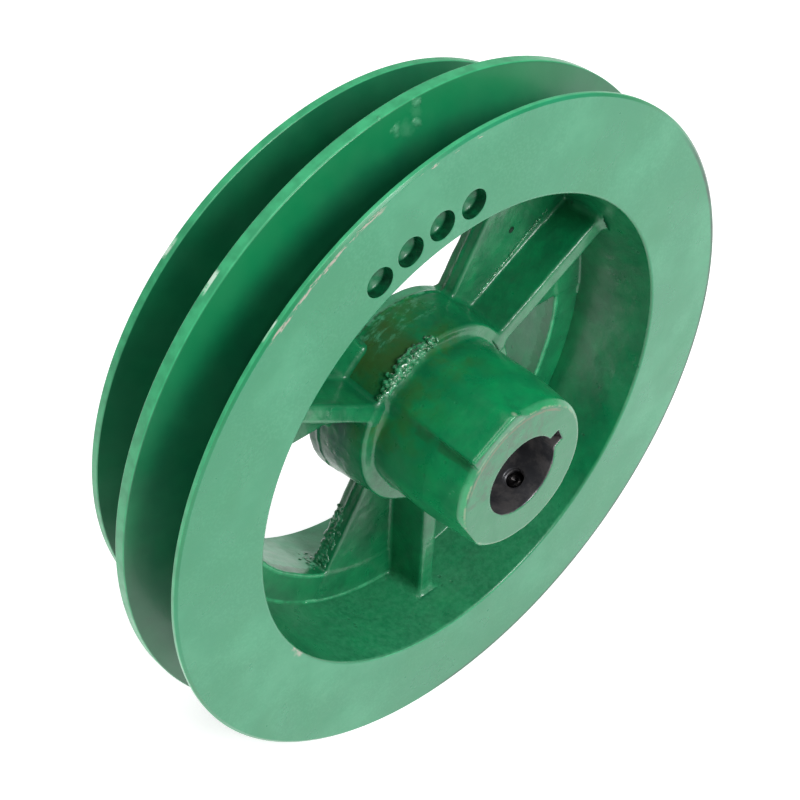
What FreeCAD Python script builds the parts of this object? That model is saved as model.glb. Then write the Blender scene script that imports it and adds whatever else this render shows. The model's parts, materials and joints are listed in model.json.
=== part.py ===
import FreeCAD, Part
import math
import os
import Sketcher
from FreeCAD import Placement, Rotation, Vector

# Two-groove V-belt pulley with three ribbed spokes.
# The bore runs along +Y. Its front mouth, on the hub face, is the origin, so a depth is a Y value.
# Angles are measured in the front view from +X towards +Z.

doc = FreeCAD.newDocument("v_belt_pulley")

# ---------------------------------------------------------------- driving dimensions, mm and degrees
sheet = doc.addObject("Spreadsheet::Sheet", "Dimensions")
DRIVING = [
    ("bore_radius", 12.7, "shaft bore"),
    ("key_width", 4.76, "keyway across"),
    ("key_reach", 16.0, "bore axis to keyway floor"),
    ("key_angle", 26.0, "keyway direction"),
    ("barrel_radius", 25.0, "hub barrel"),
    ("barrel_front_radius", 23.8, "hub barrel behind its chamfer"),
    ("barrel_draft_end", 14.0, "end of the draft at the hub front"),
    ("face_radius", 22.4, "hub face inside its chamfer"),
    ("barrel_flat", 24.1, "axis to the small flat"),
    ("flat_at_face", 22.1, "axis to the small flat at the hub face"),
    ("flat_slope_end", 18.0, "end of the slope of the small flat"),
    ("flat_angle", 210.0, "direction of the small flat"),
    ("pad_flat", 25.2, "axis to the pad flats"),
    ("pad_seat", 20.0, "axis to the pad seats"),
    ("pad_width", 18.4, "pads across"),
    ("pad_chamfer", 0.7, "front edge of the pads"),
    ("visible_pad_angle", 120.0, "plain pad direction"),
    ("screw_angle", 300.0, "set screw pad direction"),
    ("screw_depth", 8.5, "set screw axis behind the hub face"),
    ("screw_hole_radius", 2.73, "tapped hole at mid thread"),
    ("screw_radius", 2.68, "set screw at mid thread"),
    ("screw_length", 8.0, "set screw"),
    ("screw_recess", 1.0, "screw tip short of the bore wall"),
    ("screw_socket", 3.0, "hexagon socket across flats"),
    ("screw_socket_depth", 2.5, "hexagon socket depth"),
    ("screw_cup_radius", 1.5, "cup point mouth"),
    ("boss_front", 33.8, "boss ledge"),
    ("boss_rear", 55.3, "hub rear face"),
    ("boss_front_radius", 29.2, "boss at the ledge"),
    ("boss_rear_radius", 30.9, "boss at the rear face"),
    ("root_fillet", 2.6, "fillet where the barrel meets the ledge"),
    ("bead_radius", 1.8, "bead on the ledge corner, section"),
    ("bead_ring", 28.8, "bead centre line"),
    ("bead_start", 86.0, "bead first angle"),
    ("bead_sweep", 56.0, "bead sweep"),
    ("rim_front", 19.8, "rim front face"),
    ("rim_rear", 71.6, "rim rear face"),
    ("front_radius", 105.0, "front and middle flanges"),
    ("rear_radius", 93.35, "rear flange"),
    ("groove_depth", 18.5, "both grooves"),
    ("groove_half_angle", 17.5, "both grooves"),
    ("front_land", 1.7, "front flange tip"),
    ("middle_land", 3.5, "middle flange tip"),
    ("middle_start", 41.3, "middle flange tip, front edge"),
    ("rear_land", 2.6, "rear flange tip"),
    ("front_mouth", 76.3, "front recess at the rim face"),
    ("front_inner", 74.3, "front recess at the web"),
    ("web_front", 47.6, "front of the spoke plates"),
    ("window_radius", 64.2, "outer wall of the windows"),
    ("rear_mouth", 66.4, "rear recess at the rim face"),
    ("spoke_side_angle", 29.8, "spoke plate side to its centre line"),
    ("spoke_side_offset", 1.9, "side line moved towards the centre line"),
    ("left_spoke_trim", 2.4, "left spoke plate narrower on its lower side"),
    ("spoke_angle", 30.0, "first spoke"),
    ("rib_half_base", 3.5, "rib at the spoke plate"),
    ("rib_draft", 2.7, "rib side"),
    ("rib_flare", 3.0, "rib end flare at the rim"),
    ("balance_radius", 4.2, "balance holes"),
    ("balance_ring", 83.8, "balance hole centres"),
    ("balance_depth", 3.4, "balance holes to the drill shoulder"),
    ("balance_tip", 2.4, "drill point"),
    ("balance_start", 94.5, "first balance hole"),
    ("balance_step", 7.5, "between balance holes"),
]
DERIVED = [
    ("groove_rise", "=groove_depth * tan(groove_half_angle * 1deg)", "groove wall along the axis"),
    ("front_floor_radius", "=front_radius - groove_depth", "front groove floor"),
    ("rear_floor_radius", "=rear_radius - groove_depth", "rear groove floor"),
    ("front_tip_end", "=rim_front + front_land", "front flange tip, rear edge"),
    ("front_floor_start", "=front_tip_end + groove_rise", "front groove floor, front edge"),
    ("front_floor_end", "=middle_start - groove_rise", "front groove floor, rear edge"),
    ("middle_end", "=middle_start + middle_land", "middle flange tip, rear edge"),
    ("web_rear", "=middle_end + (front_radius - rear_floor_radius) * tan(groove_half_angle * 1deg)",
     "rear groove floor, front edge, and rear of the spoke plates"),
    ("rear_tip_start", "=rim_rear - rear_land", "rear flange tip, front edge"),
    ("rear_floor_end", "=rear_tip_start - groove_rise", "rear groove floor, rear edge"),
    ("front_taper", "=(front_mouth - front_inner) / (web_front - rim_front)", "front recess draft"),
    ("inner_at_floor_start", "=front_mouth - front_taper * (front_floor_start - rim_front)", "recess"),
    ("inner_at_floor_end", "=front_mouth - front_taper * (front_floor_end - rim_front)", "recess"),
    ("rear_taper", "=(rear_mouth - window_radius) / (rim_rear - web_rear)", "rear recess draft"),
    ("rear_inner_at_floor_end", "=rear_mouth - rear_taper * (rim_rear - rear_floor_end)", "recess"),
    ("boss_taper", "=(boss_rear_radius - boss_front_radius) / (boss_rear - boss_front)", "boss draft"),
    ("boss_at_web", "=boss_front_radius + boss_taper * (web_front - boss_front)", "boss"),
    ("boss_at_web_rear", "=boss_front_radius + boss_taper * (web_rear - boss_front)", "boss"),
    ("rib_half_tip", "=rib_half_base - (web_front - boss_front) * tan(rib_draft * 1deg)", "rib front edge"),
    ("chamfer_end", "=barrel_front_radius - face_radius", "hub chamfer, 45 degrees"),
    ("pad_chamfer_end", "=28 - face_radius", "hub chamfer run out past the screw pad"),
    ("flat_end", "=boss_front - root_fillet", "rear of the small flat"),
    ("pad_front_edge", "=pad_flat - pad_chamfer", "pad flats at the hub face"),
]
for row, (alias, value, note) in enumerate(DRIVING + DERIVED, start=1):
    sheet.set(f"A{row}", alias)
    sheet.set(f"B{row}", str(value))
    sheet.set(f"C{row}", note)
    sheet.setAlias(f"B{row}", alias)
doc.recompute()


def val(alias):
    """Present value of a sheet entry."""
    return float(sheet.get(alias))


# ---------------------------------------------------------------- helpers
def draw_profile(sketch, corners):
    """Closed outline through corners, each a radius and a depth, as sheet names or numbers."""
    count = len(corners)
    points = [Vector(val(r) if isinstance(r, str) else r, val(d) if isinstance(d, str) else d, 0)
              for r, d in corners]
    for i in range(count):
        sketch.addGeometry(Part.LineSegment(points[i], points[(i + 1) % count]), False)
    for i in range(count):
        sketch.addConstraint(Sketcher.Constraint("Coincident", i, 2, (i + 1) % count, 1))
    for i, (radius, depth) in enumerate(corners):
        for kind, name, coordinate in (("DistanceX", radius, points[i].x),
                                       ("DistanceY", depth, points[i].y)):
            number = sketch.addConstraint(Sketcher.Constraint(kind, -1, 1, i, 1, coordinate))
            if isinstance(name, str):
                sketch.setExpression(f"Constraints[{number}]", f"{sheet.Name}.{name}")


def turned_body(label, corners):
    """Body revolved about Y from corners in the XY plane."""
    body = doc.addObject("PartDesign::Body", label)
    body.Label = label
    sketch = body.newObject("Sketcher::SketchObject", label + "_profile")
    sketch.AttachmentSupport = [(body.Origin.OriginFeatures[3], "")]
    sketch.MapMode = "FlatFace"
    draw_profile(sketch, corners)
    turn = body.newObject("PartDesign::Revolution", label + "_turn")
    turn.Profile = sketch
    turn.ReferenceAxis = (sketch, ["V_Axis"])
    turn.Angle = 360.0
    sketch.Visibility = False
    body.Tip = turn
    body.Placement = Placement()
    doc.recompute()
    return body


def bind(obj, **expressions):
    """Tie properties of an object to sheet expressions."""
    for name, text in expressions.items():
        obj.setExpression(name.replace("__", "."), text)
    return obj


def along_y(name, radius, start, end):
    """Cylinder about the bore axis between two depths, all sheet expressions."""
    rod = doc.addObject("Part::Cylinder", name)
    rod.Placement = Placement(Vector(0, 0, 0), Rotation(Vector(1, 0, 0), -90))
    return bind(rod, Radius=radius, Height=f"({end}) - ({start})", Placement__Base__y=start)


def cone_along_y(name, first, last, start, end):
    """Cone about the bore axis between two depths, all sheet expressions."""
    cone = doc.addObject("Part::Cone", name)
    cone.Placement = Placement(Vector(0, 0, 0), Rotation(Vector(1, 0, 0), -90))
    return bind(cone, Radius1=first, Radius2=last, Height=f"({end}) - ({start})", Placement__Base__y=start)


def radial_box(name, angle, inner, outer, width, start, end):
    """Box whose length runs outward from the axis at an angle, all sheet expressions."""
    box = doc.addObject("Part::Box", name)
    bind(box, Length=f"({outer}) - ({inner})", Width=f"({end}) - ({start})", Height=width)
    # The corner is the box's inner, front, low point turned with it about Y.
    box.Placement = Placement(Vector(0, 0, 0), Rotation(Vector(0, 1, 0), 0))
    bind(
        box,
        Placement__Base__x=f"({inner}) * cos(({angle}) * 1deg) + ({width}) / 2 * sin(({angle}) * 1deg)",
        Placement__Base__y=start,
        Placement__Base__z=f"({inner}) * sin(({angle}) * 1deg) - ({width}) / 2 * cos(({angle}) * 1deg)",
        Placement__Rotation__Angle=f"-({angle}) * 1deg",
    )
    return box


def radial_prism(name, angle, corners, width):
    """Bar lying across the plane through the axis at an angle, with its outline in that plane."""
    sketch = doc.addObject("Sketcher::SketchObject", name + "_profile")
    draw_profile(sketch, corners)
    sketch.Placement = Placement(Vector(0, 0, 0), Rotation(Vector(0, 1, 0), 0))
    bind(sketch, Placement__Rotation__Angle=f"-({angle}) * 1deg")
    bar = doc.addObject("Part::Extrusion", name)
    bar.Base = sketch
    bar.DirMode = "Normal"
    bar.Solid = True
    bar.Symmetric = True
    return bind(bar, LengthFwd=width)


def radial_rod(name, kind, angle, start, length, depth, **sizes):
    """Cylinder or cone whose axis runs outward from the bore axis at an angle."""
    rod = doc.addObject(kind, name)
    bind(rod, Height=length, **sizes)
    turn = Rotation(Vector(0, 1, 0), 90 - val_of(angle))
    rod.Placement = Placement(Vector(0, 0, 0), turn)
    bind(
        rod,
        Placement__Base__x=f"({start}) * cos(({angle}) * 1deg)",
        Placement__Base__y=depth,
        Placement__Base__z=f"({start}) * sin(({angle}) * 1deg)",
    )
    return rod


def val_of(expression):
    """Number behind a sheet expression that names one entry."""
    return val(expression.split(".")[-1])


def cut(name, base, tools):
    """Base shape less every tool."""
    joined = tools[0] if len(tools) == 1 else doc.addObject("Part::MultiFuse", name + "_tools")
    if len(tools) > 1:
        joined.Shapes = tools
    result = doc.addObject("Part::Cut", name)
    result.Base, result.Tool = base, joined
    result.Label = name
    return result


def common(name, shapes):
    """Shared volume of the shapes."""
    result = doc.addObject("Part::MultiCommon", name)
    result.Shapes = shapes
    result.Label = name
    return result


def fuse(name, shapes):
    """Union of the shapes."""
    result = doc.addObject("Part::MultiFuse", name)
    result.Shapes = shapes
    result.Label = name
    return result


S = sheet.Name + "."
NODES = {}

# ---------------------------------------------------------------- rim, six turned rings
NODES["front_flange"] = turned_body("front_flange", [
    ("front_mouth", "rim_front"), ("front_radius", "rim_front"), ("front_radius", "front_tip_end"),
    ("front_floor_radius", "front_floor_start"), ("inner_at_floor_start", "front_floor_start")])
NODES["front_groove_floor"] = turned_body("front_groove_floor", [
    ("inner_at_floor_start", "front_floor_start"), ("front_floor_radius", "front_floor_start"),
    ("front_floor_radius", "front_floor_end"), ("inner_at_floor_end", "front_floor_end")])
NODES["middle_flange"] = turned_body("middle_flange", [
    ("inner_at_floor_end", "front_floor_end"), ("front_floor_radius", "front_floor_end"),
    ("front_radius", "middle_start"), ("front_radius", "middle_end"),
    ("rear_floor_radius", "web_rear"), ("front_inner", "web_front")])
NODES["web_ring"] = turned_body("web_ring", [
    ("window_radius", "web_front"), ("front_inner", "web_front"),
    ("rear_floor_radius", "web_rear"), ("window_radius", "web_rear")])
NODES["rear_groove_floor"] = turned_body("rear_groove_floor", [
    ("window_radius", "web_rear"), ("rear_floor_radius", "web_rear"),
    ("rear_floor_radius", "rear_floor_end"), ("rear_inner_at_floor_end", "rear_floor_end")])
NODES["rear_flange"] = turned_body("rear_flange", [
    ("rear_inner_at_floor_end", "rear_floor_end"), ("rear_floor_radius", "rear_floor_end"),
    ("rear_radius", "rear_tip_start"), ("rear_radius", "rim_rear"), ("rear_mouth", "rim_rear")])

# Four blind balance holes with drill points, in the front flange face.
drills = []
for number in range(4):
    angle = f"({S}balance_start + {number} * {S}balance_step)"
    place = dict(
        Placement__Base__x=f"{S}balance_ring * cos({angle} * 1deg)",
        Placement__Base__z=f"{S}balance_ring * sin({angle} * 1deg)")
    shank = along_y(f"balance_shank_{number + 1}", S + "balance_radius", S + "rim_front",
                    f"{S}rim_front + {S}balance_depth")
    point = cone_along_y(f"balance_point_{number + 1}", S + "balance_radius", "0",
                         f"{S}rim_front + {S}balance_depth",
                         f"{S}rim_front + {S}balance_depth + {S}balance_tip")
    drills += [bind(shank, **place), bind(point, **place)]
NODES["front_flange"].Label = "front_flange_turned"
NODES["front_flange"] = cut("front_flange_drilled", NODES["front_flange"], drills)

# ---------------------------------------------------------------- hub tools shared by boss and barrel
bore = along_y("bore_tool", S + "bore_radius", "-1", S + "boss_rear + 1")
keyway = radial_box("keyway_tool", S + "key_angle", "0", S + "key_reach", S + "key_width", "-1",
                    S + "boss_rear + 1")
screw_hole = radial_rod("screw_hole_tool", "Part::Cylinder", S + "screw_angle", S + "bore_radius - 3",
                        S + "pad_flat + 8 - " + S + "bore_radius", S + "screw_depth",
                        Radius=S + "screw_hole_radius")

# ---------------------------------------------------------------- hub boss
boss = turned_body("hub_boss_turned", [
    (0.0, "boss_front"), ("boss_front_radius", "boss_front"), ("boss_rear_radius", "boss_rear"),
    (0.0, "boss_rear")])
NODES["hub_boss"] = cut("hub_boss", boss, [bore, keyway])

# ---------------------------------------------------------------- hub barrel with two pads and a flat
barrel = turned_body("hub_barrel_turned", [
    (0.0, 0.0), ("face_radius", 0.0), ("barrel_front_radius", "chamfer_end"),
    ("barrel_radius", "barrel_draft_end"), ("barrel_radius", "boss_front"), (0.0, "boss_front")])
seats = {}
for role, angle in (("plain", "visible_pad_angle"), ("screw", "screw_angle")):
    seats[role] = radial_box(role + "_pad_seat_tool", S + angle, S + "pad_seat", S + "barrel_radius + 5",
                             S + "pad_width", "-1", S + "boss_front + 1")
small_flat = radial_prism("small_flat_tool", S + "flat_angle", [
    ("flat_at_face", -1.0), ("flat_at_face", 0.0), ("barrel_flat", "flat_slope_end"),
    ("barrel_flat", "flat_end"), (32.0, "flat_end"), (32.0, -1.0)], "30")
NODES["hub_barrel"] = cut("hub_barrel", barrel,
                          [bore, keyway, screw_hole, small_flat, seats["plain"], seats["screw"]])

# The plain pad starts level with the hub face, with its front edge broken. The hub chamfer's cone
# runs across the screw pad.
envelope = turned_body("pad_envelope", [
    (0.0, 0.0), ("face_radius", 0.0), (28.0, "pad_chamfer_end"), (28.0, "boss_front"),
    (0.0, "boss_front")])
pads = {}
for role, angle in (("plain", "visible_pad_angle"), ("screw", "screw_angle")):
    pads[role] = radial_prism(role + "_pad_block", S + angle, [
        ("pad_seat", 0.0), ("pad_front_edge", 0.0), ("pad_flat", "pad_chamfer"),
        ("pad_flat", "boss_front"), ("pad_seat", "boss_front")], S + "pad_width")
NODES["plain_pad"] = pads["plain"]
NODES["screw_pad"] = cut("screw_pad", common("screw_pad_turned", [pads["screw"], envelope]), [screw_hole])

# ---------------------------------------------------------------- root fillet and ledge bead
fillet_square = along_y("fillet_outer", f"{S}barrel_radius + {S}root_fillet",
                        f"{S}boss_front - {S}root_fillet", S + "boss_front")
fillet_core = along_y("fillet_core", S + "barrel_radius", f"{S}boss_front - {S}root_fillet - 1",
                      S + "boss_front + 1")
fillet_torus = doc.addObject("Part::Torus", "fillet_hollow")
fillet_torus.Placement = Placement(Vector(0, 0, 0), Rotation(Vector(1, 0, 0), -90))
bind(fillet_torus, Radius1=f"{S}barrel_radius + {S}root_fillet", Radius2=S + "root_fillet",
     Placement__Base__y=f"{S}boss_front - {S}root_fillet")
pad_gaps = [radial_box(role + "_pad_gap", S + angle, S + "pad_seat", S + "pad_flat", S + "pad_width", "0",
                       S + "boss_front")
            for role, angle in (("plain", "visible_pad_angle"), ("screw", "screw_angle"))]
NODES["root_fillet"] = cut("root_fillet", fillet_square, [fillet_core, fillet_torus] + pad_gaps)

bead_torus = doc.addObject("Part::Torus", "bead_torus")
bead_turn = Rotation(Vector(0, 1, 0), -val("bead_start")).multiply(Rotation(Vector(1, 0, 0), 90))
bead_torus.Placement = Placement(Vector(0, 0, 0), bead_turn)
bind(bead_torus, Radius1=S + "bead_ring", Radius2=S + "bead_radius", Angle3=S + "bead_sweep * 1deg",
     Placement__Base__y=S + "boss_front")
NODES["ledge_bead"] = cut("ledge_bead", bead_torus, [NODES["hub_boss"], NODES["root_fillet"]])

# ---------------------------------------------------------------- spoke plates
# A master plate and rib lie along +X, and each spoke is the master turned about the bore axis.
REACH = "100"
boss_solid = cone_along_y("boss_solid", S + "boss_at_web", S + "boss_at_web_rear", S + "web_front",
                          S + "web_rear")
window_disc = along_y("window_disc", S + "window_radius", S + "web_front", S + "web_rear")


def side_box(name, sign, offset):
    """Tool that removes everything past one side of the master plate."""
    return radial_box(name, f"{sign}({S}spoke_side_angle + 90)", f"-({offset})", REACH, f"2 * {REACH}",
                      S + "web_front - 1", S + "web_rear + 1")


plate = cut("plate_master", window_disc, [boss_solid,
                                          side_box("plate_side_high", "", S + "spoke_side_offset"),
                                          side_box("plate_side_low", "-", S + "spoke_side_offset")])
narrow_plate = cut("plate_narrow_master", plate,
                   [side_box("plate_side_narrow", "", f"{S}spoke_side_offset + {S}left_spoke_trim")])

# ---------------------------------------------------------------- ribs
recess_disc = cone_along_y(
    "recess_disc", f"{S}front_mouth - {S}front_taper * ({S}boss_front - {S}rim_front)", S + "front_inner",
    S + "boss_front", S + "web_front")
boss_upper = cone_along_y("boss_upper", S + "boss_front_radius", S + "boss_at_web", S + "boss_front",
                          S + "web_front")
rib_annulus = cut("rib_annulus", recess_disc, [boss_upper])


def drafted_bar(name, start, widening):
    """Bar along +X from start past the rim, wider by widening each side than the rib itself."""
    bar = doc.addObject("Part::Wedge", name)
    tip, foot = f"{S}rib_half_tip + {widening}", f"{S}rib_half_base + {widening}"
    return bind(bar, Xmin=start, X2min=start, Xmax=REACH, X2max=REACH, Ymin=S + "boss_front",
                Ymax=S + "web_front", Zmin=f"-({tip})", Zmax=tip, Z2min=f"-({foot})", Z2max=foot)


web_bar = drafted_bar("rib_bar", "20", "0")
end_bar = drafted_bar("rib_end_bar", f"{S}front_inner - {S}rib_flare", S + "rib_flare")
hollows = []
for side, sign in (("high", ""), ("low", "-")):
    hollow = cone_along_y(f"rib_end_hollow_{side}", f"{S}rib_flare + {S}rib_half_base - {S}rib_half_tip",
                          S + "rib_flare", S + "boss_front", S + "web_front")
    hollows.append(bind(hollow, Placement__Base__x=f"{S}front_inner - {S}rib_flare",
                        Placement__Base__z=f"{sign}({S}rib_half_base + {S}rib_flare)"))
rib = common("rib_master", [fuse("rib_blank", [web_bar, cut("rib_end", end_bar, hollows)]), rib_annulus])

for number, name in enumerate(("right", "left", "lower")):
    spoke = narrow_plate if name == "left" else plate
    for label, master in ((f"spoke_{name}", spoke), (f"rib_{name}", rib)):
        copy = doc.addObject("Part::Compound", label)
        copy.Label = label
        copy.Links = [master]
        copy.Placement = Placement(Vector(0, 0, 0), Rotation(Vector(0, 1, 0), 1))
        NODES[label] = bind(copy, Placement__Rotation__Angle=f"-({S}spoke_angle + {120 * number}) * 1deg")

# ---------------------------------------------------------------- set screw
tip_radius = f"({S}bore_radius + {S}screw_recess)"
screw_body = radial_rod("set_screw_body", "Part::Cylinder", S + "screw_angle", tip_radius,
                        S + "screw_length", S + "screw_depth", Radius=S + "screw_radius")
cup = radial_rod("set_screw_cup", "Part::Cone", S + "screw_angle", tip_radius,
                 S + "screw_cup_radius", S + "screw_depth", Radius1=S + "screw_cup_radius", Radius2="0")
socket = doc.addObject("Part::Prism", "set_screw_socket")
bind(socket, Circumradius=S + "screw_socket / 2 / cos(30deg)", Height=S + "screw_socket_depth + 1")
socket.Polygon = 6
socket.Placement = Placement(Vector(0, 0, 0), Rotation(Vector(0, 1, 0), 90 - val("screw_angle")))
socket_start = f"({tip_radius} + {S}screw_length - {S}screw_socket_depth)"
bind(socket,
     Placement__Base__x=f"{socket_start} * cos({S}screw_angle * 1deg)",
     Placement__Base__y=S + "screw_depth",
     Placement__Base__z=f"{socket_start} * sin({S}screw_angle * 1deg)")
NODES["set_screw"] = cut("set_screw", screw_body, [cup, socket])

doc.recompute()
NODES["front_flange"].Label = "front_flange"

# ---------------------------------------------------------------- checks and export
for obj in doc.Objects:
    if "Invalid" in obj.State or "Error" in obj.State:
        raise RuntimeError(f"{obj.Label} did not compute: {obj.State}")

drilled = NODES["front_flange"].Base.Shape.Volume - NODES["front_flange"].Shape.Volume
hole = math.pi * val("balance_radius") ** 2 * (val("balance_depth") + val("balance_tip") / 3)
if abs(drilled - 4 * hole) > 0.02 * hole:
    raise RuntimeError("the balance holes did not cut in full")

os.makedirs("parts", exist_ok=True)
for name, obj in NODES.items():
    shape = obj.Shape
    if shape.isNull() or not shape.isValid() or shape.Volume <= 0:
        raise RuntimeError(f"{name} is not a valid solid")
    solids = shape.Solids
    (solids[0] if len(solids) == 1 else Part.makeCompound(solids)).exportStep(f"parts/{name}.step")
    print(f"{name}: {len(solids)} solid(s), {shape.Volume:.0f} mm3")
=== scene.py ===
import json
import math

import bpy
import numpy as np
from mathutils import Matrix, Vector


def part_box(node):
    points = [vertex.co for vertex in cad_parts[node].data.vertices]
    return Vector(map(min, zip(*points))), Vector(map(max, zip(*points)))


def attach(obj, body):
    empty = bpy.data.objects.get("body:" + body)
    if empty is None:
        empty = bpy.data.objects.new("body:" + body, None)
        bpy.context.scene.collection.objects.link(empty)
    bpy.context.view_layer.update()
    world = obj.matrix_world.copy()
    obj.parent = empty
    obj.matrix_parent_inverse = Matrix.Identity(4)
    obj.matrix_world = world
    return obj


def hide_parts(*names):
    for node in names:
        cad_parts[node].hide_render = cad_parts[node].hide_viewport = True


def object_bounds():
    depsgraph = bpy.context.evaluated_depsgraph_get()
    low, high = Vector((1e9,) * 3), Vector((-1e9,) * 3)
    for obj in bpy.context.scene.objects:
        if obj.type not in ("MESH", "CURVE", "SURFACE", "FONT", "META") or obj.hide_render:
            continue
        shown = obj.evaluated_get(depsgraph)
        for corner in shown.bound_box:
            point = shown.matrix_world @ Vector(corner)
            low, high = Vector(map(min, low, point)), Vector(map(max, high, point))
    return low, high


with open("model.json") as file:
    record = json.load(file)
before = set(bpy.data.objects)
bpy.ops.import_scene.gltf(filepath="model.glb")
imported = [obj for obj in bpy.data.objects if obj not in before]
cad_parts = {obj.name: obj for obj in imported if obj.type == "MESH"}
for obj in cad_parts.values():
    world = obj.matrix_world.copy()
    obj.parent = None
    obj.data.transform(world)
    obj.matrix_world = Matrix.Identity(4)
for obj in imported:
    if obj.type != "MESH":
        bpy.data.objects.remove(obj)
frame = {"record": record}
cad_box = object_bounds()

# Two-groove V-belt pulley: a painted iron casting with a set screw in its hub.
# Shapes are worked out in millimetres in the CAD frame and made in metres. The bore runs along +Y from the
# hub face at y = 0, and angles are measured in the front view from +X towards +Z.

MM = 0.001


def box_mm(node):
    low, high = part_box(node)
    return low / MM, high / MM


def mount(name):
    return next(m for m in frame["record"]["mounts"] if m["name"] == name)


# ---------------------------------------------------------------- sizes, mm and degrees
FRONT_Y = box_mm("front_flange")[0].y
REAR_Y = box_mm("rear_flange")[1].y
FRONT_R = box_mm("front_flange")[1].x
REAR_R = box_mm("rear_flange")[1].x
FLOOR_START, FLOOR_END = (c.y for c in box_mm("front_groove_floor"))
FRONT_FLOOR_R = box_mm("front_groove_floor")[1].x
WEB_Y, WEB_REAR_Y = (c.y for c in box_mm("web_ring"))
REAR_FLOOR_END = box_mm("rear_groove_floor")[1].y
REAR_FLOOR_R = box_mm("rear_groove_floor")[1].x
LEDGE_Y, HUB_REAR_Y = (c.y for c in box_mm("hub_boss"))
BOSS_REAR_R = box_mm("hub_boss")[1].x
BARREL_R = box_mm("hub_barrel")[1].x
BORE_R = mount("bore")["dims"]["r_mm"]

FRONT_LAND, MIDDLE_START, MIDDLE_LAND, REAR_LAND = 1.7, 41.3, 3.5, 2.6
FRONT_MOUTH_R, INNER_R, WINDOW_R, REAR_MOUTH_R = 76.3, 74.3, 64.2, 66.4
FACE_R, BARREL_FRONT_R, DRAFT_END = 22.4, 23.8, 14.0
BARREL_FLAT, FLAT_AT_FACE, FLAT_SLOPE_END, FLAT_ANGLE = 24.1, 22.1, 18.0, 210
PAD_FLAT, PAD_HALF, PAD_CHAMFER, PLAIN_ANGLE, SCREW_ANGLE = 25.2, 9.2, 0.7, 120, 300
BOSS_R = 29.2
KEY_ANGLE, KEY_HALF, KEY_REACH = 26, 2.38, 16.0
SCREW_Y, SCREW_TIP, SCREW_LENGTH, SCREW_R, THREAD_ROOT = 8.5, 13.7, 8.0, 2.68, 3.05
SPOKES = {"right": 30, "left": 150, "lower": 270}
SIDE_ANGLE, SIDE_OFFSET, LEFT_TRIM = 29.8, 1.9, 2.4
RIB_TIP, RIB_FOOT = 2.85, 3.5
PARTING_Y = 51.3
HOLE_R, HOLE_RING, HOLE_DEPTH, HOLE_TIP = 4.2, 83.8, 3.4, 2.4
HOLE_ANGLES = [94.5 + 7.5 * i for i in range(4)]
BEAD_RING, BEAD_FIRST, BEAD_THICK, BEAD_LAST = 29.0, 92, 116, 143
CHAMFER_SLOPE = 0.7071
SEGMENTS, ARC_STEP = 512, 14


# ---------------------------------------------------------------- distance fields
def rmax(a, b, radius):
    """Shared volume of two distance fields, its edge rounded."""
    ua, ub = np.maximum(a + radius, 0), np.maximum(b + radius, 0)
    return np.minimum(np.maximum(a, b), -radius) + np.sqrt(ua * ua + ub * ub)


def rmin(a, b, radius):
    """Union of two distance fields, its inner corner filleted."""
    return -rmax(-a, -b, radius)


def ease(value, start, end):
    t = np.clip((value - start) / (end - start), 0, 1)
    return t * t * (3 - 2 * t)


def direction(degrees):
    return math.cos(math.radians(degrees)), math.sin(math.radians(degrees))


def turned(x, z, degrees):
    """Coordinates outward along an angle and across it."""
    c, s = direction(degrees)
    return x * c + z * s, z * c - x * s


def lattice(ix, iy, iz, seed):
    """Repeatable number from -1 to 1 at whole-number points."""
    n = (ix * 374761393 + iy * 668265263 + iz * 2147483647 + seed * 144665) & 0xFFFFFFFF
    n = ((n ^ (n >> 13)) * 1274126177) & 0xFFFFFFFF
    return ((n ^ (n >> 16)) & 0xFFFF) / 32767.5 - 1


def lumps(x, y, z, size, seed):
    """Smooth noise from -1 to 1 with features of the given size."""
    p = [np.asarray(c, np.float64) / size for c in (x, y, z)]
    whole = [np.floor(c).astype(np.int64) for c in p]
    part = [c - w for c, w in zip(p, whole)]
    part = [t * t * (3 - 2 * t) for t in part]
    total = 0
    for a in (0, 1):
        for b in (0, 1):
            for c in (0, 1):
                weight = ((part[0] if a else 1 - part[0]) * (part[1] if b else 1 - part[1])
                          * (part[2] if c else 1 - part[2]))
                total = total + weight * lattice(whole[0] + a, whole[1] + b, whole[2] + c, seed)
    return total


def cast_skin(x, y, z):
    """Height of the sand-cast surface above its true shape."""
    return 0.13 * lumps(x, y, z, 7.0, 1) + 0.07 * lumps(x, y, z, 2.7, 2) + 0.035 * lumps(x, y, z, 1.3, 3)


def parting_flash(x, y, z):
    """Ragged thin ridge left where the halves of the mould met."""
    x, y, z = np.broadcast_arrays(x, y, z)
    height = np.zeros(y.shape)
    near = np.abs(y - PARTING_Y) < 1.1
    height[near] = ((0.32 + 0.25 * lumps(x[near], y[near], z[near], 3.1, 4))
                    * np.exp(-((y[near] - PARTING_Y) / 0.42) ** 2))
    return height


def boss_field(x, y, z):
    taper = (BOSS_REAR_R - BOSS_R) / (HUB_REAR_Y - LEDGE_Y)
    side = np.hypot(x, z) - (BOSS_R + taper * (y - LEDGE_Y)) - parting_flash(x, y, z)
    return rmax(rmax(side, LEDGE_Y - y, 1.2), y - HUB_REAR_Y, 0.9)


def between(start, end, share):
    return start + (end - start) * np.clip(share, 0, 1)


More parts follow.
